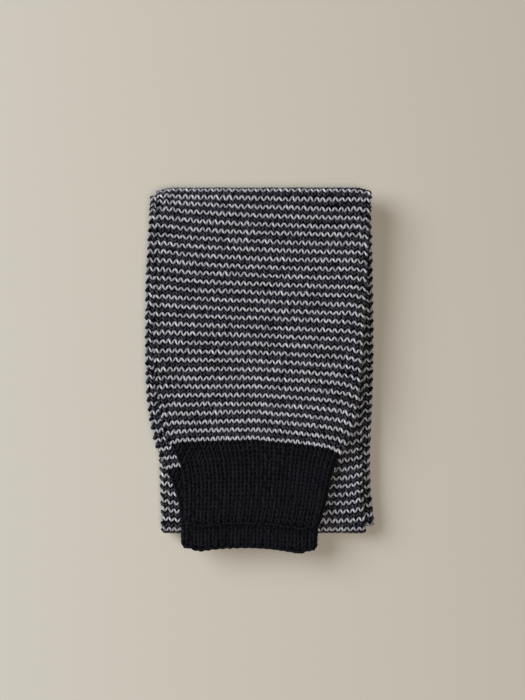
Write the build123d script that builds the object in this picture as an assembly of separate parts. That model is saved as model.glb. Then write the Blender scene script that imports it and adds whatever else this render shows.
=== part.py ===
from build123d import *
import os

# A child's knitted trousers, folded flat: one leg on the other, then in three like a letter Z.
# +X runs across the legs, +Y runs along them away from the cuffs, and +Z is up.
# The origin is on the surface the trousers rest on, under the middle of the folded stack.
# From the bottom up the stack is left hip, right hip, right thigh, left thigh, left shin, right shin.

# Fabric
PLY = 2.0  # one layer of knitting
SLIT = 0.2  # space left inside a tube that is pressed flat
TUBE = 2 * PLY + SLIT  # height of a flat tube
LAYER_GAP = 0.2  # space between stacked tubes
PITCH = TUBE + LAYER_GAP

# Places along the legs
KNEE_Y = 109.6  # where the tubes start to turn at the knee fold
SEAT_Y = -99.6  # where the tubes start to turn at the seat fold
RIGHT_CUFF_TOP = -46.0
RIGHT_HEM = -102.5
LEFT_CUFF_TOP = -62.5
LEFT_HEM = -118.3
CROTCH_Y = -75.0
WAIST_SEAM_Y = 82.0
WAIST_TOP_Y = 112.0

# Order of the tubes in the stack
LEFT_HIP, RIGHT_HIP, RIGHT_THIGH, LEFT_THIGH, LEFT_SHIN, RIGHT_SHIN = range(6)

# Seat and waistband, which are folded in half along the trousers' centre line
SEAT_LEFT = -61.0
SEAT_TURN_X = 63.0  # where the seat starts to turn over at its centre line
SEAT_HEIGHT = 2 * TUBE + LAYER_GAP
SEAM_LOOP_HEIGHT = 0.6
CASING_POCKET = 0.8
CASING_TOP = 3.0  # folded edge of the casing above the pocket
ELASTIC_THICKNESS = 0.5
ELASTIC_WIDTH = 22.0

# Yarns, label and running clearances
SEAM_RADIUS = 0.45
CHANNEL_RADIUS = 0.55  # hollow in the ply round a seam yarn
FOLD_CLEARANCE = 0.1
FOLD_REACH = 20.0  # further than any fold stands out
BEYOND = 400.0  # larger than the whole stack
STATIONS = 11  # sections that make up each smooth length of leg
LABEL_WIDTH = 24.0
LABEL_LENGTH = 34.0
LABEL_THICKNESS = 0.1

# Each outline is a list of (y, left edge, right edge).
RIGHT_SHIN_OUTLINE = [
    (KNEE_Y, -66.6, 71.8),
    (60.0, -69.0, 69.2),
    (15.0, -69.0, 66.7),
    (-16.0, -66.6, 64.0),
    (RIGHT_CUFF_TOP, -60.0, 57.0),
]
RIGHT_CUFF_OUTLINE = [
    (RIGHT_CUFF_TOP, -60.0, 57.0),
    (-53.0, -55.0, 53.0),
    (-62.0, -51.0, 48.5),
    (-76.0, -48.8, 44.6),
    (RIGHT_HEM, -49.2, 37.5),
]
LEFT_SHIN_OUTLINE = [
    (KNEE_Y, -70.8, 66.0),
    (60.0, -73.6, 64.5),
    (5.0, -74.0, 62.0),
    (-34.0, -71.2, 57.5),
    (LEFT_CUFF_TOP, -62.5, 50.5),
]
LEFT_CUFF_OUTLINE = [
    (LEFT_CUFF_TOP, -62.5, 50.5),
    (-72.0, -57.0, 45.5),
    (-88.0, -52.2, 40.0),
    (LEFT_HEM, -51.0, 36.8),
]
RIGHT_THIGH_OUTLINE = [
    (KNEE_Y, -66.6, 71.8),
    (35.0, -67.0, 73.6),
    (-20.0, -65.5, 73.0),
    (-60.0, -63.5, 71.4),
    (SEAT_Y, -62.0, 74.0),
]
LEFT_THIGH_OUTLINE = [
    (KNEE_Y, -70.8, 66.0),
    (60.0, -69.0, 66.6),
    (0.0, -67.0, 67.4),
    (-60.0, -65.2, 66.6),
    (SEAT_Y, -64.0, 68.6),
]
RIGHT_HIP_OUTLINE = [(SEAT_Y, -62.0, 74.0), (-88.0, -61.3, 72.5), (CROTCH_Y, -61.0, 69.0)]
LEFT_HIP_OUTLINE = [(SEAT_Y, -64.0, 68.6), (-88.0, -62.5, 68.8), (CROTCH_Y, -61.0, 69.0)]


def level(order):
    """Height of the middle of a tube in the stack."""
    return TUBE / 2 + order * PITCH


KNEE_Z = (level(LEFT_THIGH) + level(LEFT_SHIN)) / 2
SEAT_Z = (level(RIGHT_HIP) + level(RIGHT_THIGH)) / 2


def across(x, y, z):
    """Plane that cuts the legs square across."""
    return Plane(origin=(x, y, z), x_dir=(1, 0, 0), z_dir=(0, 1, 0))


def stations(outline):
    """Outline filled in along smooth edges, as evenly spaced stations."""
    edges = Spline(*[(left, y, right) for y, left, right in outline])
    places = [edges @ (step / (STATIONS - 1)) for step in range(STATIONS)]
    return [(place.Y, place.X, place.Z) for place in places]


def tube_section(station, order, inset):
    """Flattened tube section, drawn in from the outer surface by an inset."""
    y, left, right = station
    width = right - left - 2 * inset
    return across((left + right) / 2, y, level(order)) * SlotOverall(width, TUBE - 2 * inset)


def quarter_turn(station, order, inset, fold_z, sense):
    """First quarter of a fold, as far as the fold's middle plane."""
    axis = Axis((0, station[0], fold_z), (sense, 0, 0))
    return revolve(tube_section(station, order, inset), axis=axis, revolution_arc=90)


def leg_body(outline, order, folds, inset):
    """Straight run of a leg with the quarter turns at its ends."""
    body = loft([tube_section(station, order, inset) for station in stations(outline)], ruled=True)
    for station, fold_z, sense in folds:
        body += quarter_turn(station, order, inset, fold_z, sense)
    return body


def leg_tube(outline, order, folds=()):
    """Hollow flattened tube, open at both ends."""
    return leg_body(outline, order, folds, 0) - leg_body(outline, order, folds, PLY)


def fold_gap(y, z):
    """Thin space at a fold's middle plane, where its two sides part as it opens."""
    return Pos(0, y, z) * Box(BEYOND, 2 * FOLD_REACH, 2 * FOLD_CLEARANCE)


def strand(points, radius):
    """Sewing yarn that runs along a leg."""
    return loft([across(*point) * Circle(radius) for point in points], ruled=True)


def inseam(outline, order, radius):
    """Inside-leg seam yarn, in the middle of the ply at a tube's right edge."""
    edge = stations(outline)
    return strand([(right - PLY / 2, y, level(order)) for y, _, right in edge], radius)


def seat_outline(y, offset):
    """Closed line that runs at an offset outside the middle of the seat's folded wall."""
    middle = SEAT_HEIGHT / 2
    outer = middle - PLY / 2 + offset
    inner = (LAYER_GAP + PLY) / 2 - offset
    left = SEAT_LEFT + TUBE / 2
    side = (outer - inner) / 2
    corners = [
        (left, -outer),
        (SEAT_TURN_X, -outer),
        (SEAT_TURN_X + outer, 0),
        (SEAT_TURN_X, outer),
        (left, outer),
        (left - side, outer - side),
        (left, inner),
        (SEAT_TURN_X, inner),
        (SEAT_TURN_X + inner, 0),
        (SEAT_TURN_X, -inner),
        (left, -inner),
        (left - side, side - outer),
    ]
    points = [(x, y, middle + height) for x, height in corners]
    edges = []
    for start in range(0, len(points), 3):
        a, b, through, c = (points[(start + step) % len(points)] for step in range(4))
        edges.append(Line(a, b))
        edges.append(ThreePointArc(b, through, c))
    return Face(Wire(edges))


def seat_wall(y, length, thickness):
    """Folded wall of the seat, with a given thickness about its middle."""
    outside = extrude(seat_outline(y, thickness / 2), amount=length, dir=(0, 1, 0))
    inside = extrude(seat_outline(y, -thickness / 2), amount=length, dir=(0, 1, 0))
    return outside - inside


def centre_seam(radius_of_turn, radius):
    """Seam yarn at the seat's centre line, on one turn of the folded wall."""
    x = SEAT_TURN_X + radius_of_turn
    start, end = CROTCH_Y, WAIST_SEAM_Y - SEAM_LOOP_HEIGHT
    return strand([(x, start, SEAT_HEIGHT / 2), (x, end, SEAT_HEIGHT / 2)], radius)


def hip(outline, order):
    """Top of one leg and its half of the seat, up to the waistband."""
    wall = seat_wall(CROTCH_Y, WAIST_SEAM_Y - SEAM_LOOP_HEIGHT - CROTCH_Y, PLY)
    side = -1 if order == LEFT_HIP else 1
    middle = SEAT_HEIGHT / 2 + side * FOLD_CLEARANCE / 2
    half = wall & Pos(0, 0, middle + side * SEAT_HEIGHT) * Box(BEYOND, BEYOND, 2 * SEAT_HEIGHT)
    leg = leg_tube(outline, order, [(outline[0], SEAT_Z, -1)])
    return half + leg - fold_gap(SEAT_Y - FOLD_REACH, SEAT_Z)


def make_leg(side, shin_outline, cuff_outline, thigh_outline, shin_order, thigh_order):
    """One leg's shin, cuff and thigh, with the yarn of its inside seam."""
    knee_gap = fold_gap(KNEE_Y + FOLD_REACH, KNEE_Z)
    seat_gap = fold_gap(SEAT_Y - FOLD_REACH, SEAT_Z)
    knee_turn = (shin_outline[0], KNEE_Z, -1)
    thigh_turns = [(thigh_outline[0], KNEE_Z, 1), (thigh_outline[-1], SEAT_Z, 1)]
    shin = leg_tube(shin_outline, shin_order, [knee_turn]) - knee_gap
    cuff = leg_tube(cuff_outline, shin_order)
    thigh = leg_tube(thigh_outline, thigh_order, thigh_turns) - knee_gap - seat_gap
    shin_yarn = inseam(shin_outline, shin_order, SEAM_RADIUS)
    cuff_yarn = inseam(cuff_outline, shin_order, SEAM_RADIUS)
    return {
        f"{side}_shin": shin - inseam(shin_outline, shin_order, CHANNEL_RADIUS),
        f"{side}_cuff": cuff - inseam(cuff_outline, shin_order, CHANNEL_RADIUS),
        f"{side}_thigh": thigh - inseam(thigh_outline, thigh_order, CHANNEL_RADIUS),
        f"{side}_shin_seam": shin_yarn + cuff_yarn,
        f"{side}_thigh_seam": inseam(thigh_outline, thigh_order, SEAM_RADIUS),
    }


def make_seat():
    """Both halves of the seat, joined by the front and back seams at the centre line."""
    back_turn = (SEAT_HEIGHT - PLY) / 2
    front_turn = (LAYER_GAP + PLY) / 2
    channels = centre_seam(back_turn, CHANNEL_RADIUS) + centre_seam(front_turn, CHANNEL_RADIUS)
    return {
        "left_hip": hip(LEFT_HIP_OUTLINE, LEFT_HIP) - channels,
        "right_hip": hip(RIGHT_HIP_OUTLINE, RIGHT_HIP) - channels,
        "back_seam": centre_seam(back_turn, SEAM_RADIUS),
        "front_seam": centre_seam(front_turn, SEAM_RADIUS),
    }


def make_waist():
    """Ribbed casing with its elastic, the yarn that links it on, and a blank label."""
    height = WAIST_TOP_Y - WAIST_SEAM_Y
    casing = seat_wall(WAIST_SEAM_Y, height, PLY)
    pocket = seat_wall(WAIST_SEAM_Y, height - CASING_TOP, CASING_POCKET)
    elastic_y = WAIST_SEAM_Y + (height - CASING_TOP - ELASTIC_WIDTH) / 2
    label_y = WAIST_SEAM_Y - SEAM_LOOP_HEIGHT - LABEL_LENGTH / 2
    return {
        "waistband": casing - pocket,
        "waist_elastic": seat_wall(elastic_y, ELASTIC_WIDTH, ELASTIC_THICKNESS),
        "waist_seam": seat_wall(WAIST_SEAM_Y - SEAM_LOOP_HEIGHT, SEAM_LOOP_HEIGHT, CASING_POCKET),
        "care_label": Pos(0, label_y, level(RIGHT_HIP)) * Box(LABEL_WIDTH, LABEL_LENGTH, LABEL_THICKNESS),
    }


def main():
    os.makedirs("parts", exist_ok=True)
    right_leg = make_leg(
        "right", RIGHT_SHIN_OUTLINE, RIGHT_CUFF_OUTLINE, RIGHT_THIGH_OUTLINE, RIGHT_SHIN, RIGHT_THIGH
    )
    left_leg = make_leg(
        "left", LEFT_SHIN_OUTLINE, LEFT_CUFF_OUTLINE, LEFT_THIGH_OUTLINE, LEFT_SHIN, LEFT_THIGH
    )
    parts = right_leg | left_leg | make_seat() | make_waist()
    for name, shape in parts.items():
        export_step(shape, f"parts/{name}.step")


main()
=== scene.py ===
import math

import bpy
import numpy as np
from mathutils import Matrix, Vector


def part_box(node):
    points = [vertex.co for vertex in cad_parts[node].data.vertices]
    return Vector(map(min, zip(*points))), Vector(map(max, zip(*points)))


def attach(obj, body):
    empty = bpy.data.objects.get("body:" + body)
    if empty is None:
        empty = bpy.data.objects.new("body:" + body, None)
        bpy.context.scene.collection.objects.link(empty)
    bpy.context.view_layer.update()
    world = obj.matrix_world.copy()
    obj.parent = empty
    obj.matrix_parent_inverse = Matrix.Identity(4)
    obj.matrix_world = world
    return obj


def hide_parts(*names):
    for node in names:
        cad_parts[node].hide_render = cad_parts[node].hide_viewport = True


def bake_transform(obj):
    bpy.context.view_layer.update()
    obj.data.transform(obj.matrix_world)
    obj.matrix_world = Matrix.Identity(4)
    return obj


# Folded striped trousers, knitted yarn by yarn. Lengths are metres in the CAD frame.
# A leg's place along its folded path is s, counted from the cuff's hem. A course is one knitted row,
# a closed loop of yarn round the flattened tube. Colours are linear.

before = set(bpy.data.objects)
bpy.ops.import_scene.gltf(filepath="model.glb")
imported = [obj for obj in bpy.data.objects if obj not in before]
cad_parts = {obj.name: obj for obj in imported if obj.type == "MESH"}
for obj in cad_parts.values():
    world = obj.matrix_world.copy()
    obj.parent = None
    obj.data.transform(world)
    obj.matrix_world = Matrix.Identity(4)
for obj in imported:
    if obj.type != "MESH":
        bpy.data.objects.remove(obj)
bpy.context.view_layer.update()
rng = np.random.default_rng(7)

MM = 0.001

# Gauge of the knitting
ROW_PITCH = 2.76 * MM
STITCH_WIDTH = 4.05 * MM
LEG_STITCHES = 68
CUFF_RIBS = 36
BAND_RIB_WIDTH = 4.9 * MM

# Plain stitches
AMPLITUDE = 1.52 * MM  # half the height of a stitch's V
TUCK = 0.62 * MM  # how far a V's ends dive into the fabric
LIGHT_HALF, DARK_HALF = 0.65 * MM, 0.7 * MM  # half widths of the yarns
HALF_HEIGHT = 0.84 * MM
LIGHT_BULGE, DARK_BULGE = 0.5 * MM, 1.3 * MM  # how far a course stands out at the tube's edges

# Ribs of the cuffs and the waistband
RIB_AMPLITUDE = 2.15 * MM
RIB_HEIGHT = 0.35 * MM
RIB_HALF_WIDTH, CUFF_HALF_HEIGHT, BAND_HALF_HEIGHT = 0.86 * MM, 0.72 * MM, 0.6 * MM
CUFF_BULGE = 0.9 * MM
CUFF_DEPTH = 0.15 * MM  # the cuff's ribs lie this much deeper than the ply's middle
BAND_RISE = 0.3 * MM  # the waistband's stand out over the casing
FIRST_RIB, FULL_RIB = -0.8 * MM, 8.2 * MM  # over this stretch of s the amplitude grows to its full size

# Unevenness: standard deviations along the leg, in depth, and as shares of a stitch or of the yarn's size
ROW_STRAY, STITCH_STRAY, RIB_STRAY, SEAT_STRAY = 0.16 * MM, 0.12 * MM, 0.15 * MM, 0.12 * MM
STITCH_DEPTH_STRAY, RIB_DEPTH_STRAY = 0.06 * MM, 0.05 * MM
WANDER, HEIGHT_CHANGE, WIDTH_CHANGE, THICKNESS_CHANGE, SIZE_CHANGE = 0.05, 0.12, 0.08, 0.04, 0.05

# Slopes of the courses along the leg
CUFF_REACH = 110 * MM  # how far above the cuff its pull is seen
KNEE_REACH = 40 * MM  # length over which the slope changes at the knee fold
FOLD_CLEAR = 20 * MM  # courses are straight at a fold and slope fully this far from it
HEM_REACH = 18 * MM  # how far up the cuff the wave of its hem is seen
HEM_CORNER = 5 * MM  # radius of the hem's corners
FOLD_CORNER = 0.25  # share of the knee fold's depth by which its corners are rounded off

# Inside-leg seam
SEAM_START = 2 * MM  # from the hem
SEAM_DEPTH = 1.0 * MM  # from the tube's right edge
SEAM_STITCH = 3.0 * MM
SEAM_SWING = 0.22 * MM
SEAM_HALF = 0.2 * MM  # half the yarn's width
SEAM_TAPER = 8  # the twist runs out over one part in this many at each end

# Core under the yarn, painted near black as the shade in the gaps between yarns, as offsets from the middle
# of a ply
CORE_OUT, CORE_IN = -0.3 * MM, -0.8 * MM
CASING_OUT = 0.34 * MM  # the waistband's core also holds the elastic
CORE_BULGE = 0.7 * MM  # sideways, with the yarn of the tube's edges
CORE_ROW = 2 * MM
SPLIT_TRIM = 1.5 * MM
HEM_TRIM, WAIST_TRIM = 0.6 * MM, 0.5 * MM

# Samples of a mesh
SAMPLES_PER_STITCH = 6
SAMPLES_PER_RIB = 12
RING = 6
CORE_SAMPLES, SEAT_CORE_SAMPLES = 240, 1200

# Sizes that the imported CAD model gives
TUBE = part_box("right_cuff")[1].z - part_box("right_cuff")[0].z
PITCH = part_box("right_cuff")[0].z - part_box("left_cuff")[0].z
FOLD_OUTER = (3 * PITCH + TUBE) / 2
KNEE_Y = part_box("right_shin")[1].y - FOLD_OUTER
SEAT_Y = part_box("left_thigh")[0].y + FOLD_OUTER
CROTCH_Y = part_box("back_seam")[0].y
WAIST_SEAM_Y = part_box("waistband")[0].y
WAIST_TOP_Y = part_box("waistband")[1].y
SLIT = 0.2 * MM  # between a tube's two plies
PLY_MIDDLE = (TUBE + SLIT) / 4  # from a tube's middle plane to the middle of a ply
SEAT_MIDDLE = (PITCH + TUBE) / 2  # height of the folded seat's middle plane


def level(order):
    """Height of the middle plane of the tube that is order tubes up the stack."""
    return TUBE / 2 + order * PITCH


# --- outlines read from the CAD solids ---------------------------------------------------------


def slice_edges(node, ys):
    """Leftmost and rightmost x of a CAD node where it is cut square across at each y."""
    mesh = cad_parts[node].data
    points = np.empty(len(mesh.vertices) * 3)
    mesh.vertices.foreach_get("co", points)
    points = points.reshape(-1, 3)
    ends = np.empty(len(mesh.edges) * 2, int)
    mesh.edges.foreach_get("vertices", ends)
    a, b = points[ends[0::2]], points[ends[1::2]]
    left, right = [], []
    for y in ys:
        cross = (a[:, 1] - y) * (b[:, 1] - y) <= 0
        run = b[cross] - a[cross]
        along = np.where(np.abs(run[:, 1]) > 1e-9, (y - a[cross, 1]) / (run[:, 1] + 1e-12), 0)
        x = a[cross, 0] + run[:, 0] * np.clip(along, 0, 1)
        left.append(x.min())
        right.append(x.max())
    return np.array(left), np.array(right)


class Leg:
    """The folded middle plane of one leg, from the cuff's hem to the waist seam. The orders are the places
    of its three lengths in the stack, where 0 is the lowest."""

    def __init__(self, side, shin_order, thigh_order, hip_order):
        self.side = side
        self.hem_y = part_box(side + "_cuff")[0].y
        self.cuff_top_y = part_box(side + "_cuff")[1].y
        self.z = level(shin_order)
        knee_radius = (shin_order - thigh_order) * PITCH / 2
        seat_radius = (thigh_order - hip_order) * PITCH / 2
        lengths = [
            KNEE_Y - self.hem_y,
            math.pi * knee_radius,
            KNEE_Y - SEAT_Y,
            math.pi * seat_radius,
            WAIST_SEAM_Y - SEAT_Y,
        ]
        self.radii = [None, knee_radius, None, seat_radius, None]
        self.turns = [None, -1, None, 1, None]
        self.starts = np.concatenate([[0], np.cumsum(lengths)])
        self.cuff_top = self.cuff_top_y - self.hem_y
        self.knee_split = (self.starts[1] + self.starts[2]) / 2
        self.seat_split = (self.starts[3] + self.starts[4]) / 2
        self.crotch = self.starts[4] + CROTCH_Y - SEAT_Y
        self.read_width()

    def read_width(self):
        """Left and right edges of the tube along the path, from slices of the CAD solids."""
        step = 4 * MM
        trim = 0.2 * MM
        runs = [
            (self.side + "_cuff", self.hem_y, self.cuff_top_y, 0),
            (self.side + "_shin", self.cuff_top_y, KNEE_Y, self.cuff_top),
            (self.side + "_thigh", KNEE_Y, SEAT_Y, self.starts[2]),
            (self.side + "_hip", SEAT_Y, CROTCH_Y, self.starts[4]),
        ]
        s_all, left_all, right_all = [], [], []
        for node, start, end, s_start in runs:
            sense = 1 if end > start else -1
            ys = np.linspace(start + sense * trim, end - sense * trim, int(abs(end - start) / step) + 2)
            left, right = slice_edges(node, ys)
            s_all.append(s_start + np.abs(ys - start))
            left_all.append(left)
            right_all.append(right)
        self.s_known = np.concatenate(s_all)
        self.left_known = np.concatenate(left_all)
        self.right_known = np.concatenate(right_all)

    def edges(self, s):
        left = np.interp(s, self.s_known, self.left_known)
        return left, np.interp(s, self.s_known, self.right_known)

    def place(self, s):
        """Point (y, z) of the middle plane at s, and the direction (y, z) out of the leg's front."""
        y, z = self.hem_y, self.z
        heading = 0.0
        out_y, out_z = np.zeros_like(s), np.zeros_like(s)
        normal_y, normal_z = np.zeros_like(s), np.zeros_like(s)
        last = len(self.radii) - 1
        for part, (radius, turn) in enumerate(zip(self.radii, self.turns)):
            length = self.starts[part + 1] - self.starts[part]
            here = s - self.starts[part]
            inside = (here >= 0) if part > 0 else np.ones_like(s, bool)
            if part < last:
                inside &= here < length
            if radius is None:
                angle = np.full_like(s, heading)
                py, pz = y + here * math.cos(heading), z + here * math.sin(heading)
                y, z = y + length * math.cos(heading), z + length * math.sin(heading)
            else:
                angle = heading + turn * here / radius
                centre_y = y - turn * radius * math.sin(heading)
                centre_z = z + turn * radius * math.cos(heading)
                py = centre_y + turn * radius * np.sin(angle)
                pz = centre_z - turn * radius * np.cos(angle)
                heading += turn * math.pi
                y = centre_y + turn * radius * math.sin(heading)
                z = centre_z - turn * radius * math.cos(heading)
            out_y[inside], out_z[inside] = py[inside], pz[inside]
            normal_y[inside], normal_z[inside] = -np.sin(angle)[inside], np.cos(angle)[inside]
        return out_y, out_z, normal_y, normal_z


right_leg = Leg("right", shin_order=5, thigh_order=2, hip_order=1)
left_leg = Leg("left", shin_order=4, thigh_order=3, hip_order=0)


# --- closed loops that courses follow ----------------------------------------------------------


def tube_loop(left, right, u, offset=0.0):
    """Points (x, h) and outward normals at shares u of the way round a flattened tube. h is counted from
    its middle plane, and offset from the middle of a ply."""
    radius = PLY_MIDDLE
    flat = right - left - TUBE
    turn = math.pi * radius
    along = (u % 1.0) * 2 * (flat + turn)
    x0, x1 = left + TUBE / 2, right - TUBE / 2
    front = along < flat
    right_turn = (along >= flat) & (along < flat + turn)
    back = (along >= flat + turn) & (along < 2 * flat + turn)
    angle = np.where(right_turn, (along - flat) / radius, (along - 2 * flat - turn) / radius)
    nx = np.where(front | back, 0.0, np.where(right_turn, np.sin(angle), -np.sin(angle)))
    nh = np.where(front, 1.0, np.where(back, -1.0, np.where(right_turn, np.cos(angle), -np.cos(angle))))
    turn_x = np.where(right_turn, x1, x0)
    base = np.where(front, x0 + along, np.where(back, x1 - (along - flat - turn), turn_x))
    return base + nx * (radius + offset), nh * (radius + offset), nx, nh


def seat_ends():
    """The x where the seat's flat stretches end: at its two sides and at its centre fold."""
    low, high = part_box("waistband")
    return low.x + TUBE / 2, high.x - SEAT_MIDDLE


def seat_length():
    """Rough length of a course round the seat, from which its stitches are counted."""
    x0, x1 = seat_ends()
    return 4 * (x1 - x0) + 2 * math.pi * SEAT_MIDDLE


def seat_loop(u, offset=0.0):
    """Points (x, h) and outward normals at shares u of the way round the seat, a flattened tube folded in
    half about its centre line. h is counted from the folded seat's middle plane."""
    x0, x1 = seat_ends()
    flat = x1 - x0
    outer = PITCH / 2 + PLY_MIDDLE
    inner = PITCH / 2 - PLY_MIDDLE
    side = PLY_MIDDLE
    runs = [
        ("line", flat, x0, -outer, 1, -1),
        ("turn", outer, x1, 0.0, -math.pi / 2, 1),
        ("line", flat, x1, outer, -1, 1),
        ("turn", side, x0, outer - side, math.pi / 2, 1),
        ("line", flat, x0, inner, 1, -1),
        ("turn", inner, x1, 0.0, math.pi / 2, -1),
        ("line", flat, x1, -inner, -1, 1),
        ("turn", side, x0, side - outer, math.pi / 2, 1),
    ]
    lengths = [run[1] if run[0] == "line" else math.pi * run[1] for run in runs]
    starts = np.concatenate([[0], np.cumsum(lengths)])
    along = (u % 1.0) * starts[-1]
    x, h = np.zeros_like(u), np.zeros_like(u)
    nx, nh = np.zeros_like(u), np.zeros_like(u)
    for run, start, length in zip(runs, starts, lengths):
        here = along - start
        inside = (here >= 0) & (here < length)
        if run[0] == "line":
            _, _, px, ph, sense, up = run
            x[inside] = px + sense * here[inside]
            h[inside] = ph
            nh[inside] = up
        else:
            _, radius, cx, ch, begin, sense = run
            angle = begin + sense * here[inside] / radius
            x[inside] = cx + radius * np.cos(angle)
            h[inside] = ch + radius * np.sin(angle)
            nx[inside] = sense * np.cos(angle)
            nh[inside] = sense * np.sin(angle)
    return x + nx * offset, h + nh * offset, nx, nh


# --- yarn --------------------------------------------------------------------------------------

YARN_PER_STITCH = 7.0  # the "Yarn" map's u runs in about millimetres along the yarn
COURSE_STEP = 3  # how far apart two courses are in its v, so that their marl differs
BAKE_EDGE_U, BAKE_EDGE_V = 0.002, 0.04  # margins round a course in the OFBake map


class Yarn:
    """Collects closed yarn loops into one mesh."""

    def __init__(self, name):
        self.name = name
        self.points, self.quads, self.bake_uv, self.yarn_uv = [], [], [], []
        self.count = 0
        self.rows = 0

    def add(self, centre, normal, half_height, half_width, stitches):
        """One loop: its centre line, the fabric's outward normal there, the yarn's half sizes."""
        n = len(centre)
        along = np.roll(centre, -1, 0) - np.roll(centre, 1, 0)
        along /= np.linalg.norm(along, axis=1)[:, None]
        up = normal - (normal * along).sum(1)[:, None] * along
        up /= np.linalg.norm(up, axis=1)[:, None]
        across = np.cross(along, up)
        angle = np.arange(RING) / RING * 2 * math.pi
        ring = (
            centre[:, None]
            + np.cos(angle)[None, :, None] * up[:, None] * half_height[:, None, None]
            + np.sin(angle)[None, :, None] * across[:, None] * half_width[:, None, None]
        )
        self.points.append(ring.reshape(-1, 3))
        i, j = np.meshgrid(np.arange(n), np.arange(RING), indexing="ij")
        i1, j1 = (i + 1) % n, (j + 1) % RING
        quad = np.stack([i * RING + j, i * RING + j1, i1 * RING + j1, i1 * RING + j], -1)
        self.quads.append(quad.reshape(-1, 4) + self.count)
        u = np.stack([i, i, i + 1, i + 1], -1).reshape(-1, 4) / n
        v = np.stack([j, j + 1, j + 1, j], -1).reshape(-1, 4) / RING
        self.yarn_uv.append(np.stack([u * stitches * YARN_PER_STITCH, v + COURSE_STEP * self.rows], -1))
        bake_v = BAKE_EDGE_V + (1 - 2 * BAKE_EDGE_V) * v + self.rows
        self.bake_uv.append(np.stack([BAKE_EDGE_U + (1 - 2 * BAKE_EDGE_U) * u, bake_v], -1))
        self.count += n * RING
        self.rows += 1

    def build(self, material):
        """The mesh object of all loops, with its two maps."""
        points, quads = np.concatenate(self.points), np.concatenate(self.quads)
        bake = np.concatenate(self.bake_uv)
        bake[..., 1] /= self.rows
        ob = make_mesh(self.name, points, quads, material)
        write_uv(ob, "OFBake", bake)
        write_uv(ob, "Yarn", np.concatenate(self.yarn_uv))
        return ob


def make_mesh(name, points, quads, material):
    mesh = bpy.data.meshes.new(name)
    mesh.vertices.add(len(points))
    mesh.vertices.foreach_set("co", points.astype(np.float32).ravel())
    mesh.loops.add(quads.size)
    mesh.loops.foreach_set("vertex_index", quads.astype(np.int32).ravel())
    mesh.polygons.add(len(quads))
    mesh.polygons.foreach_set("loop_start", np.arange(0, quads.size, 4, dtype=np.int32))
    mesh.polygons.foreach_set("loop_total", np.full(len(quads), 4, np.int32))
    mesh.polygons.foreach_set("use_smooth", np.ones(len(quads), bool))
    mesh.update(calc_edges=True)
    mesh.materials.append(material)
    ob = bpy.data.objects.new(name, mesh)
    bpy.context.scene.collection.objects.link(ob)
    return ob


def write_uv(ob, name, values):
    layer = ob.data.uv_layers.new(name=name)
    layer.data.foreach_set("uv", values.astype(np.float32).ravel())


# --- stitches ----------------------------------------------------------------------------------


def smooth(t):
    """Step from 0 to 1 with soft ends."""
    t = np.clip(t, 0, 1)
    return t * t * (3 - 2 * t)


def smooth_noise(n, period, amount):
    """Closed random wave of n samples whose bumps are about period samples long."""
    knots = max(3, int(n / period))
    values = rng.normal(0, amount, knots)
    where = np.arange(n) / n * knots
    low = where.astype(int)
    t = smooth(where - low)
    return values[low % knots] * (1 - t) + values[(low + 1) % knots] * t


def plain_wave(phase):
    """Height of a plain knitted course at a phase of its stitches: a row of V shapes."""
    wave = np.cos(2 * math.pi * phase)
    return wave * (0.787 + 0.213 * wave * wave)


def row_shape(leg, share, s):
    """How far along the leg a course strays from square across, at a share -1 to 1 of the width. The
    curves across the width are in millimetres: the courses droop by the cuff, tilt by the knee, and draw
    back at the tube's edges, and the hem is a wave."""
    left, right, side = np.clip(-share, 0, 1), np.clip(share, 0, 1), np.abs(share)
    by_cuff = -2.0 * left**1.5 - 4.5 * right - 3.5 * right**4
    by_knee = 3.2 * left + 3.2 * left**6 - 3.4 * right + 2.2 * right**2
    on_thigh = -1.8 * share**4
    at_edges = -1.4 * smooth((side - 0.86) / 0.14)
    at_hem = 1.6 - 1.0 * share - 5.0 * share**2 + 4.0 * smooth((side - 0.74) / 0.26)
    near_cuff = np.clip(1 - (s - leg.cuff_top) / CUFF_REACH, 0, 1)
    shin = near_cuff * by_cuff + (1 - near_cuff) * by_knee
    past_knee = smooth((s - leg.knee_split) / KNEE_REACH + 0.5)
    above_cuff = shin * (1 - past_knee) + on_thigh * past_knee + at_edges
    for split in (leg.knee_split, leg.seat_split):
        above_cuff = above_cuff * smooth(np.abs(s - split) / FOLD_CLEAR)
    on_cuff = smooth(s / leg.cuff_top)
    return MM * (above_cuff * on_cuff + at_hem * (1 - smooth(s / HEM_REACH)))


def course_edges(leg, s0):
    """Left and right edges of the course at s0, where its ends have strayed to, rounded off at the hem."""
    left = leg.edges(s0 + row_shape(leg, np.float64(-1), s0))[0]
    right = leg.edges(s0 + row_shape(leg, np.float64(1), s0))[1]
    short = np.clip(1 - s0 / HEM_CORNER, 0, 1)
    drawn_in = HEM_CORNER * (1 - np.sqrt(1 - short * short))
    return left + drawn_in, right - drawn_in


def course_point(leg, s, x, h, nx, nh):
    """Points and outward normals in space for places (s, x, h) on a leg, where h is the height over the
    tube's middle plane."""
    y, z, ny, nz = leg.place(s)
    y = y + ny * h
    left, right = leg.edges(s)
    side = np.abs(2 * x - left - right) / (right - left)
    y = y - np.maximum(y - KNEE_Y, 0) * FOLD_CORNER * smooth((side - 0.86) / 0.14)
    point = np.stack([x, y, z + nz * h], -1)
    normal = np.stack([nx, ny * nh, nz * nh], -1)
    return point, normal


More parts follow.
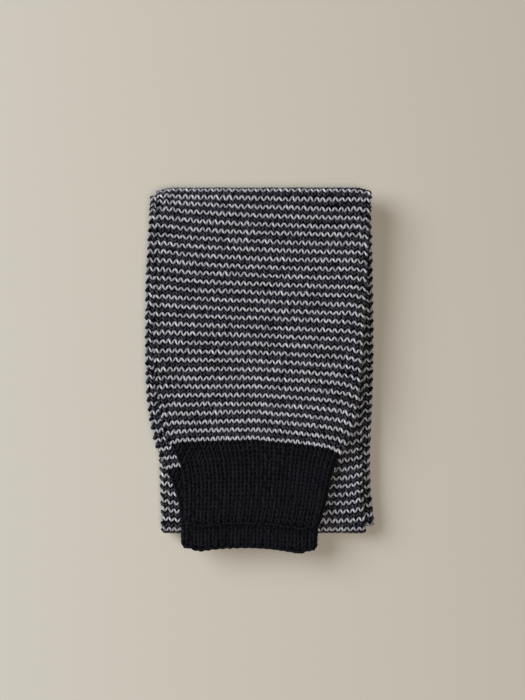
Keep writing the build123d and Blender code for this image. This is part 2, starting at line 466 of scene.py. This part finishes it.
def plain_course(yarn, leg, s0, half_width, bulge):
    """One course of plain knitting round a leg at s0."""
    n = LEG_STITCHES * SAMPLES_PER_STITCH
    u = np.arange(n) / n
    wave = plain_wave(u * LEG_STITCHES)
    left, right = course_edges(leg, s0)
    wander = smooth_noise(n, SAMPLES_PER_STITCH, WANDER) / LEG_STITCHES
    x, h, nx, nh = tube_loop(left, right, u + wander)
    share = (2 * x - left - right) / (right - left)
    s = s0 + row_shape(leg, share, s0)
    s = s + smooth_noise(n, 40, ROW_STRAY) + smooth_noise(n, SAMPLES_PER_STITCH, STITCH_STRAY)
    s = s + AMPLITUDE * wave * (1 + smooth_noise(n, SAMPLES_PER_STITCH, HEIGHT_CHANGE))
    depth = -TUCK * wave * wave + smooth_noise(n, 8, STITCH_DEPTH_STRAY)
    x, h = x + nx * (depth + bulge), h + nh * depth
    point, normal = course_point(leg, s, x, h, nx, nh)
    width = half_width * (1.08 - 0.2 * wave * wave + smooth_noise(n, 4, WIDTH_CHANGE))
    height = HALF_HEIGHT * (1 + smooth_noise(n, 5, THICKNESS_CHANGE))
    yarn.add(point, normal, height, width, LEG_STITCHES)


def rib_wave(phase):
    """(stray along the leg, height) of a one by one rib course, both about -1 to 1: two steep legs on each
    rib, then a furrow. t is the distance from the rib's middle, and 0.5 is the middle of the furrow."""
    t = np.abs((phase + 0.5) % 1.0 - 0.5)
    stray = 2 * np.clip((t - 0.15) / 0.2, 0, 1) - 1 - 0.6 * smooth((t - 0.35) / 0.15)
    height = 1 - 2 * smooth((t - 0.3) / 0.2) - 0.8 * (1 - smooth(t / 0.17))
    return stray, height


def rib_course(yarn, leg, s0):
    """One course of the cuff's rib."""
    n = CUFF_RIBS * SAMPLES_PER_RIB
    u = np.arange(n) / n
    stray, height = rib_wave(u * CUFF_RIBS)
    left, right = course_edges(leg, s0)
    x, h, nx, nh = tube_loop(left, right, u)
    share = (2 * x - left - right) / (right - left)
    s = s0 + row_shape(leg, share, s0)
    grown = smooth((s0 - FIRST_RIB) / (FULL_RIB - FIRST_RIB))
    s = s + RIB_AMPLITUDE * stray * grown + smooth_noise(n, 60, RIB_STRAY)
    depth = RIB_HEIGHT * height - CUFF_DEPTH + smooth_noise(n, 10, RIB_DEPTH_STRAY)
    x, h = x + nx * (depth + CUFF_BULGE), h + nh * depth
    point, normal = course_point(leg, s, x, h, nx, nh)
    size = 1 + smooth_noise(n, 5, SIZE_CHANGE)
    yarn.add(point, normal, CUFF_HALF_HEIGHT * size, RIB_HALF_WIDTH * size, CUFF_RIBS)


def plain_seat_wave(phase):
    """(stray, height) of a plain course of the seat."""
    wave = plain_wave(phase)
    return AMPLITUDE * wave, -TUCK * wave * wave


def rib_seat_wave(phase):
    """(stray, height) of a course of the waistband."""
    stray, height = rib_wave(phase)
    return RIB_AMPLITUDE * stray, BAND_RISE + RIB_HEIGHT * height


def seat_course(yarn, y0, stitches, samples, wave, half_width, half_height):
    """One course round the whole seat or waistband."""
    n = stitches * samples
    u = np.arange(n) / n
    stray, height = wave(u * stitches)
    x, h, nx, nh = seat_loop(u, height)
    y = y0 + stray + smooth_noise(n, 40, SEAT_STRAY)
    point = np.stack([x, y, SEAT_MIDDLE + h], -1)
    normal = np.stack([nx, np.zeros_like(nx), nh], -1)
    size = 1 + smooth_noise(n, 5, SIZE_CHANGE)
    yarn.add(point, normal, half_height * size, half_width * size, stitches)


# --- core under the yarn, painted near black as the shade between the yarns --------------------


def shell(name, outside, inside, material):
    """Closed thin wall between two stacks of loops, each an array (rows, samples, 3)."""
    rows, n = outside.shape[:2]
    points = np.concatenate([outside.reshape(-1, 3), inside.reshape(-1, 3)])
    i, j = np.meshgrid(np.arange(rows - 1), np.arange(n), indexing="ij")
    j1 = (j + 1) % n
    outer = np.stack([i * n + j, i * n + j1, (i + 1) * n + j1, (i + 1) * n + j], -1).reshape(-1, 4)
    inner = outer[:, ::-1] + rows * n
    k = np.arange(n)
    k1 = (k + 1) % n
    start = np.stack([k, rows * n + k, rows * n + k1, k1], -1)
    base = (rows - 1) * n
    end = np.stack([base + k, base + k1, rows * n + base + k1, rows * n + base + k], -1)
    return make_mesh(name, points, np.concatenate([outer, inner, start, end]), material)


def split_trim(leg, s):
    """How far a core stops short of a split at s, where the last course hides its cut end."""
    return SPLIT_TRIM if s in (leg.knee_split, leg.seat_split) else 0.0


def leg_core(name, leg, s_start, s_end):
    """Core of one length of leg."""
    s_start, s_end = s_start + split_trim(leg, s_start), s_end - split_trim(leg, s_end)
    rows = int((s_end - s_start) / CORE_ROW)
    u = np.arange(CORE_SAMPLES) / CORE_SAMPLES
    layers = []
    for offset in (CORE_OUT, CORE_IN):
        loops = []
        for s0 in np.linspace(s_start, s_end, rows):
            left, right = course_edges(leg, s0)
            x, h, nx, nh = tube_loop(left, right, u, offset)
            x = x + nx * CORE_BULGE
            share = (2 * x - left - right) / (right - left)
            s = s0 + row_shape(leg, share, s0)
            point, _ = course_point(leg, s, x, h, nx, nh)
            loops.append(point)
        layers.append(np.array(loops))
    return shell(name, layers[0], layers[1], painted_gap_shade)


def seat_core(name, y_start, y_end, core_out):
    """Core of the seat or the waistband."""
    u = np.arange(SEAT_CORE_SAMPLES) / SEAT_CORE_SAMPLES
    layers = []
    for offset in (core_out, CORE_IN):
        x, h, _, _ = seat_loop(u, offset)
        loops = [np.stack([x, np.full_like(x, y), SEAT_MIDDLE + h], -1) for y in (y_start, y_end)]
        layers.append(np.array(loops))
    return shell(name, layers[0], layers[1], painted_gap_shade)


# --- materials ---------------------------------------------------------------------------------


def node(tree, kind, **inputs):
    """New shader node of a kind, with the named inputs set."""
    made = tree.nodes.new(kind)
    for key, value in inputs.items():
        made.inputs[key.replace("_", " ")].default_value = value
    return made


def ramp(tree, factor, stops):
    """Colour or grey between stops (place, value)."""
    made = tree.nodes.new("ShaderNodeValToRGB")
    elements = made.color_ramp.elements
    while len(elements) < len(stops):
        elements.new(0.5)
    for element, (place, value) in zip(elements, stops):
        element.position = place
        element.color = (*value, 1) if isinstance(value, tuple) else (value, value, value, 1)
    tree.links.new(factor, made.inputs["Fac"])
    return made.outputs["Color"]


def multiply(tree, a, b):
    made = tree.nodes.new("ShaderNodeMix")
    made.data_type, made.blend_type = "RGBA", "MULTIPLY"
    made.inputs["Factor"].default_value = 1.0
    tree.links.new(a, made.inputs["A"])
    tree.links.new(b, made.inputs["B"])
    return made.outputs["Result"]


def scaled_noise(tree, vector, scale, size, detail):
    """Noise over a vector that is first scaled by axis."""
    mapping = tree.nodes.new("ShaderNodeMapping")
    mapping.inputs["Scale"].default_value = scale
    tree.links.new(vector, mapping.inputs["Vector"])
    noise = node(tree, "ShaderNodeTexNoise", Scale=size, Detail=detail)
    tree.links.new(mapping.outputs["Vector"], noise.inputs["Vector"])
    return noise.outputs["Fac"]


def math_node(tree, operation, a, b=None):
    """Result of a math operation on numbers or sockets."""
    made = tree.nodes.new("ShaderNodeMath")
    made.operation = operation
    for socket, value in zip(made.inputs, (a, b)):
        if isinstance(value, (int, float)):
            socket.default_value = value
        elif value is not None:
            tree.links.new(value, socket)
    return made.outputs[0]


def new_material(name):
    """An empty node material, its tree and its Principled node."""
    made = bpy.data.materials.new(name)
    made.use_nodes = True
    return made, made.node_tree, made.node_tree.nodes["Principled BSDF"]


def painted_stitch_shade(tree, along, dive_shade, ribbed):
    """Grey along the yarn, painted shade: dark where a stitch dives under its neighbours, or in the furrows
    of a rib.
    """
    angle = math_node(tree, "MULTIPLY", along, 2 * math.pi / YARN_PER_STITCH)
    if ribbed:
        swing = math_node(tree, "COSINE", math_node(tree, "MULTIPLY", angle, 2))
        stops = [(0.5, 1.0), (1.0, dive_shade)]
    else:
        swing = math_node(tree, "SINE", angle)
        stops = [(0.0, 0.8), (0.3, (1 + 2 * dive_shade) / 3), (0.5, dive_shade), (0.9, 1.0)]
    return ramp(tree, math_node(tree, "ADD", math_node(tree, "MULTIPLY", swing, 0.5), 0.5), stops)


def wool(name, dark, light, contrast, dive_shade, sheen, gloss, ribbed=False):
    """Spun wool: marled colour in streaks along the yarn, painted shade where the yarn dives or sinks into
    a rib, ply grooves, fine fibres and a soft sheen.
    """
    made, tree, bsdf = new_material(name)
    uv = tree.nodes.new("ShaderNodeUVMap")
    uv.uv_map = "Yarn"
    place = tree.nodes.new("ShaderNodeTexCoord").outputs["Object"]
    streak = scaled_noise(tree, uv.outputs["UV"], (0.3, 0.8, 1), 1.0, 1.0)
    fleck = scaled_noise(tree, place, (1, 1, 1), 1500.0, 2.0)
    streaks, flecks = math_node(tree, "MULTIPLY", streak, 0.6), math_node(tree, "MULTIPLY", fleck, 0.4)
    marl = math_node(tree, "ADD", streaks, flecks)
    colour = ramp(tree, marl, [(0.5 - contrast, dark), (0.5 + contrast, light)])
    split = tree.nodes.new("ShaderNodeSeparateXYZ")
    tree.links.new(uv.outputs["UV"], split.inputs[0])
    # painted shade: the marl is darkened where the yarn dives under its neighbours or sinks into a rib
    painted_shade = painted_stitch_shade(tree, split.outputs["X"], dive_shade, ribbed)
    tree.links.new(multiply(tree, colour, painted_shade), bsdf.inputs["Base Color"])
    twist = tree.nodes.new("ShaderNodeMapping")
    twist.inputs["Scale"].default_value = (1.0, 1.6, 1.0)
    tree.links.new(uv.outputs["UV"], twist.inputs["Vector"])
    wave = node(tree, "ShaderNodeTexWave", Scale=0.55, Distortion=0.6)
    wave.wave_type, wave.bands_direction = "BANDS", "DIAGONAL"
    tree.links.new(twist.outputs["Vector"], wave.inputs["Vector"])
    fibre = scaled_noise(tree, place, (1, 1, 1), 2600.0, 2.0)
    relief = node(tree, "ShaderNodeBump", Strength=0.5, Distance=0.25 * MM)
    tree.links.new(wave.outputs["Fac"], relief.inputs["Height"])
    fuzz = node(tree, "ShaderNodeBump", Strength=0.6, Distance=0.2 * MM)
    tree.links.new(fibre, fuzz.inputs["Height"])
    tree.links.new(relief.outputs["Normal"], fuzz.inputs["Normal"])
    tree.links.new(fuzz.outputs["Normal"], bsdf.inputs["Normal"])
    rough = ramp(tree, fibre, [(0.3, 0.82), (0.7, 0.97)])
    tree.links.new(rough, bsdf.inputs["Roughness"])
    bsdf.inputs["Sheen Weight"].default_value = sheen
    bsdf.inputs["Sheen Roughness"].default_value = 0.55
    bsdf.inputs["Specular IOR Level"].default_value = gloss
    return made


def woven(name, low, high, scale, roughness, gloss):
    """Plain weave or satin: the elastic and the label, the seat's seams, and the core under the yarn, whose
    near-black colour is painted shade between the yarns.
    """
    made, tree, bsdf = new_material(name)
    place = tree.nodes.new("ShaderNodeTexCoord").outputs["Object"]
    threads = scaled_noise(tree, place, (1, 0.35, 1), scale, 3.0)
    tree.links.new(ramp(tree, threads, [(0.3, low), (0.7, high)]), bsdf.inputs["Base Color"])
    relief = node(tree, "ShaderNodeBump", Strength=0.5, Distance=0.1 * MM)
    tree.links.new(threads, relief.inputs["Height"])
    tree.links.new(relief.outputs["Normal"], bsdf.inputs["Normal"])
    tree.links.new(ramp(tree, threads, [(0.3, roughness), (0.7, 0.98)]), bsdf.inputs["Roughness"])
    bsdf.inputs["Specular IOR Level"].default_value = gloss
    return made


BLACK_FIBRE = (0.001, 0.001, 0.0015)
# Each wool darkens its colour with painted shade where the yarn dives, down to the share given after
# contrast.
light_wool = wool(
    "light_marl_wool", (0.13, 0.13, 0.15), (0.87, 0.865, 0.91),
    contrast=0.15, dive_shade=0.3, sheen=0.1, gloss=0.15,
)
dark_wool = wool(
    "dark_navy_wool", BLACK_FIBRE, (0.078, 0.079, 0.104),
    contrast=0.11, dive_shade=0.06, sheen=0.015, gloss=0.03,
)
rib_wool = wool(
    "rib_navy_wool", BLACK_FIBRE, (0.018, 0.018, 0.0236),
    contrast=0.18, dive_shade=0.5, sheen=0.01, gloss=0.02, ribbed=True,
)
seam_wool = wool(
    "seam_navy_wool", BLACK_FIBRE, (0.017, 0.017, 0.0225),
    contrast=0.18, dive_shade=0.3, sheen=0.01, gloss=0.02,
)
# the core's near-black colour is painted shade in the gaps between the yarns
painted_gap_shade = woven(
    "core_painted_shade", (0.002, 0.002, 0.0027), (0.005, 0.005, 0.0067), scale=900.0, roughness=0.95, gloss=0.02
)
elastic_weave = woven(
    "elastic_weave", (0.55, 0.54, 0.5), (0.78, 0.77, 0.73), scale=1500.0, roughness=0.7, gloss=0.3
)
seam_weave = woven(
    "seam_weave", (0.002, 0.002, 0.003), (0.017, 0.017, 0.0225), scale=1800.0, roughness=0.9, gloss=0.05
)
label_satin = woven(
    "label_satin", (0.7, 0.69, 0.66), (0.82, 0.81, 0.78), scale=2500.0, roughness=0.45, gloss=0.5
)


# --- how pieces are carried --------------------------------------------------------------------


def riding(body):
    """Carries a piece rigidly."""
    return lambda piece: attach(piece, body)


def bending():
    """Leaves a piece attached to no body, its transform baked into its mesh."""
    return lambda piece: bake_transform(piece)


def knee_sides(leg):
    """How the shin's and the thigh's side of the knee fold are carried. The outer leg rides rigidly: its
    half circle just reaches the hinge line, and bent past it, it would sink into the floor. The nested
    leg's sides are attached to no body, their transforms baked."""
    lower_leg, radius = leg.side + "_lower_leg", leg.radii[1]
    if radius > PITCH:
        return riding(lower_leg), riding("thighs")
    return [bending() for thigh_side in (False, True)]


def seat_sides():
    """The same for the thigh's and the hips' side of the seat fold, where both legs' pieces are attached to
    no body, their transforms baked.
    """
    return [bending() for thigh_side in (True, False)]


# --- the garment -------------------------------------------------------------------------------


def striped(leg, name, s_start, s_end, carry, cad_node=None):
    """Striped knitting of one length of leg: courses are counted from the cuff, and even ones are light."""
    light = Yarn(name + "_light_yarn")
    dark = Yarn(name + "_dark_yarn")
    s_first = leg.cuff_top + ROW_PITCH / 2
    first = math.ceil((s_start - s_first) / ROW_PITCH)
    last = math.ceil((s_end - s_first) / ROW_PITCH)
    for course in range(first, last):
        s0 = s_first + course * ROW_PITCH
        if course % 2 == 0:
            plain_course(light, leg, s0, LIGHT_HALF, LIGHT_BULGE)
        else:
            plain_course(dark, leg, s0, DARK_HALF, DARK_BULGE)
    core = leg_core(name + "_core", leg, s_start, s_end)
    for piece in (light.build(light_wool), dark.build(dark_wool), core):
        carry(piece)
    if cad_node:
        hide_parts(cad_node)


def ribbed_cuff(leg, body):
    """One by one rib from the hem to the first striped course."""
    yarn = Yarn(leg.side + "_cuff_yarn")
    rows = round(leg.cuff_top / ROW_PITCH)
    pitch = leg.cuff_top / rows
    for row in range(rows):
        rib_course(yarn, leg, (row + 0.5) * pitch)
    core = leg_core(leg.side + "_cuff_core", leg, HEM_TRIM, leg.cuff_top)
    for piece in (yarn.build(rib_wool), core):
        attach(piece, body)
    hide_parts(leg.side + "_cuff")


def inside_seam(leg, name, s_start, s_end, carry, cad_node=None):
    """Sewing yarn of the inside-leg seam: one loop that runs up the tube's right edge and back, twisted.
    t runs from 0 to 1 on the way up and on to 2 on the way back."""
    n = int((s_end - s_start) / SEAM_STITCH) * 2 * SAMPLES_PER_STITCH
    t = np.arange(2 * n) / n
    s0 = s_start + (s_end - s_start) * (1 - np.abs(1 - t))
    angle = 2 * math.pi * (s0 - s_start) / SEAM_STITCH + np.where(t < 1, 0, math.pi)
    swing = SEAM_SWING * np.minimum(1, SEAM_TAPER * (0.5 - np.abs(0.5 - t % 1.0)))
    edge = np.array([course_edges(leg, place)[1] for place in s0])
    x, h = edge - SEAM_DEPTH + swing * np.cos(angle), swing * np.sin(angle)
    s = s0 + np.array([row_shape(leg, np.float64(1), place) for place in s0])
    point, normal = course_point(leg, s, x, h, np.ones_like(x), np.zeros_like(x))
    half = np.full_like(x, SEAM_HALF)
    yarn = Yarn(name + "_yarn")
    yarn.add(point, normal, half, half, 2 * n // SAMPLES_PER_STITCH)
    piece = yarn.build(seam_wool)
    carry(piece)
    if cad_node:
        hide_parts(cad_node)


def seat():
    """Striped knitting of both hips from the crotch to the waistband, the yarn in two halves."""
    stitches = 2 * round(seat_length() / STITCH_WIDTH / 2)
    rows = int((WAIST_SEAM_Y - CROTCH_Y) / ROW_PITCH)
    core = seat_core("seat_core", CROTCH_Y, WAIST_SEAM_Y, CORE_OUT)
    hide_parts("left_hip", "right_hip")
    pieces = [core]
    half_rows = rows // 2
    for part, part_rows in (("lower", range(half_rows)), ("upper", range(half_rows, rows))):
        light, dark = Yarn(f"seat_{part}_light_yarn"), Yarn(f"seat_{part}_dark_yarn")
        for row in part_rows:
            y0 = CROTCH_Y + (row + 0.5) * ROW_PITCH
            yarn, width = (light, LIGHT_HALF) if row % 2 == 0 else (dark, DARK_HALF)
            seat_course(yarn, y0, stitches, SAMPLES_PER_STITCH, plain_seat_wave, width, HALF_HEIGHT)
        pieces += [light.build(light_wool), dark.build(dark_wool)]
    for piece in pieces:
        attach(piece, "hips")


def waistband():
    """One by one rib from the waist seam to the top edge."""
    ribs = round(seat_length() / BAND_RIB_WIDTH)
    yarn = Yarn("waistband_yarn")
    rows = round((WAIST_TOP_Y - WAIST_SEAM_Y) / ROW_PITCH)
    for row in range(rows):
        y0 = WAIST_SEAM_Y + (row + 0.5) * (WAIST_TOP_Y - WAIST_SEAM_Y) / rows
        seat_course(yarn, y0, ribs, SAMPLES_PER_RIB, rib_seat_wave, RIB_HALF_WIDTH, BAND_HALF_HEIGHT)
    core = seat_core("waistband_core", WAIST_SEAM_Y, WAIST_TOP_Y - WAIST_TRIM, CASING_OUT)
    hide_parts("waistband")
    for piece in (yarn.build(rib_wool), core):
        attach(piece, "hips")


def leg_pieces(leg):
    """All of one leg up to the crotch. The thigh is in two lengths, one at each of its folds."""
    side = leg.side
    middle = (leg.starts[2] + leg.starts[3]) / 2
    below_knee, above_knee = knee_sides(leg)
    below_seat, above_seat = seat_sides()
    ribbed_cuff(leg, side + "_lower_leg")
    striped(leg, side + "_shin", leg.cuff_top, leg.knee_split, below_knee, side + "_shin")
    striped(leg, side + "_knee", leg.knee_split, middle, above_knee)
    striped(leg, side + "_thigh", middle, leg.seat_split, below_seat, side + "_thigh")
    striped(leg, side + "_hip_turn", leg.seat_split, leg.crotch, above_seat)
    inside_seam(leg, side + "_shin_seam", SEAM_START, leg.starts[1], below_knee, side + "_shin_seam")
    inside_seam(leg, side + "_knee_seam", leg.starts[2], middle, above_knee)
    inside_seam(leg, side + "_thigh_seam", middle, leg.starts[3], below_seat, side + "_thigh_seam")


leg_pieces(right_leg)
leg_pieces(left_leg)
seat()
waistband()

for name, material in (
    ("waist_elastic", elastic_weave),
    ("care_label", label_satin),
    ("waist_seam", seam_weave),
    ("front_seam", seam_weave),
    ("back_seam", seam_weave),
):
    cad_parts[name].data.materials.clear()
    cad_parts[name].data.materials.append(material)


# --- floor, light and camera -------------------------------------------------------------------

VIEW_WIDTH = 341.25 * MM  # what the camera sees at the height of the stack's top
VIEW_HEIGHT = VIEW_WIDTH * 4 / 3
VIEW_X, VIEW_Y = 1.6 * MM, 12.2 * MM
LENS, SENSOR = 85.0, 36.0

FLOOR_SIDE = 12.0
# The floor's colour carries painted light falloff, lighter at the left and darker to the right and away.
FLOOR_LIT_LEFT, FLOOR_SHADED_RIGHT = (0.652, 0.612, 0.536), (0.556, 0.506, 0.43)
SHADE_PER_X, SHADE_PER_Y = 2.0, 0.7  # per metre, from FLOOR_LIT_LEFT at 0 to FLOOR_SHADED_RIGHT at 1


def floor():
    """Plain pale floor whose colour carries painted light falloff: it darkens gently to the right and away.
    """
    made, tree, bsdf = new_material("floor")
    split = tree.nodes.new("ShaderNodeSeparateXYZ")
    tree.links.new(tree.nodes.new("ShaderNodeTexCoord").outputs["Object"], split.inputs[0])
    across = math_node(tree, "ADD", math_node(tree, "MULTIPLY", split.outputs["X"], SHADE_PER_X), 0.5)
    shade = math_node(tree, "ADD", across, math_node(tree, "MULTIPLY", split.outputs["Y"], SHADE_PER_Y))
    tree.links.new(ramp(tree, shade, [(0.0, FLOOR_LIT_LEFT), (1.0, FLOOR_SHADED_RIGHT)]), bsdf.inputs["Base Color"])
    bsdf.inputs["Roughness"].default_value = 0.95
    bsdf.inputs["Specular IOR Level"].default_value = 0.1
    corners = np.array([(-1, -1, 0), (1, -1, 0), (1, 1, 0), (-1, 1, 0)]) * FLOOR_SIDE / 2
    make_mesh("floor", corners, np.array([[0, 1, 2, 3]]), made)


def area_light(name, place, size, power, colour):
    """Round soft light that shines on the object."""
    lamp = bpy.data.lights.new(name, "AREA")
    lamp.shape, lamp.size, lamp.energy, lamp.color = "DISK", size, power, colour
    ob = bpy.data.objects.new(name, lamp)
    bpy.context.scene.collection.objects.link(ob)
    ob.location = place
    ob.visible_camera = False
    ob.rotation_euler = (-Vector(place)).to_track_quat("-Z", "Y").to_euler()


def lights():
    """Cool window light from the left, a weaker warm one from above, and a dim room."""
    area_light("window", (-2.15, 1.05, 2.14), size=2.4, power=90.0, colour=(0.87, 0.93, 1.0))
    area_light("overhead", (0.2, -0.35, 3.2), size=1.1, power=45.0, colour=(1.0, 0.93, 0.83))
    world = bpy.data.worlds.new("studio")
    world.use_nodes = True
    background = world.node_tree.nodes["Background"]
    background.inputs["Color"].default_value = (1.0, 0.99, 0.97, 1)
    background.inputs["Strength"].default_value = 0.065
    bpy.context.scene.world = world
    bpy.context.scene.view_settings.view_transform = "Standard"


def camera():
    """Camera straight above the stack."""
    lens = bpy.data.cameras.new("camera")
    lens.lens, lens.sensor_width, lens.sensor_fit = LENS, SENSOR, "AUTO"
    ob = bpy.data.objects.new("camera", lens)
    bpy.context.scene.collection.objects.link(ob)
    ob.location = (VIEW_X, VIEW_Y, FOLD_OUTER * 2 + VIEW_HEIGHT * LENS / SENSOR)
    bpy.context.scene.camera = ob


floor()
lights()
camera()
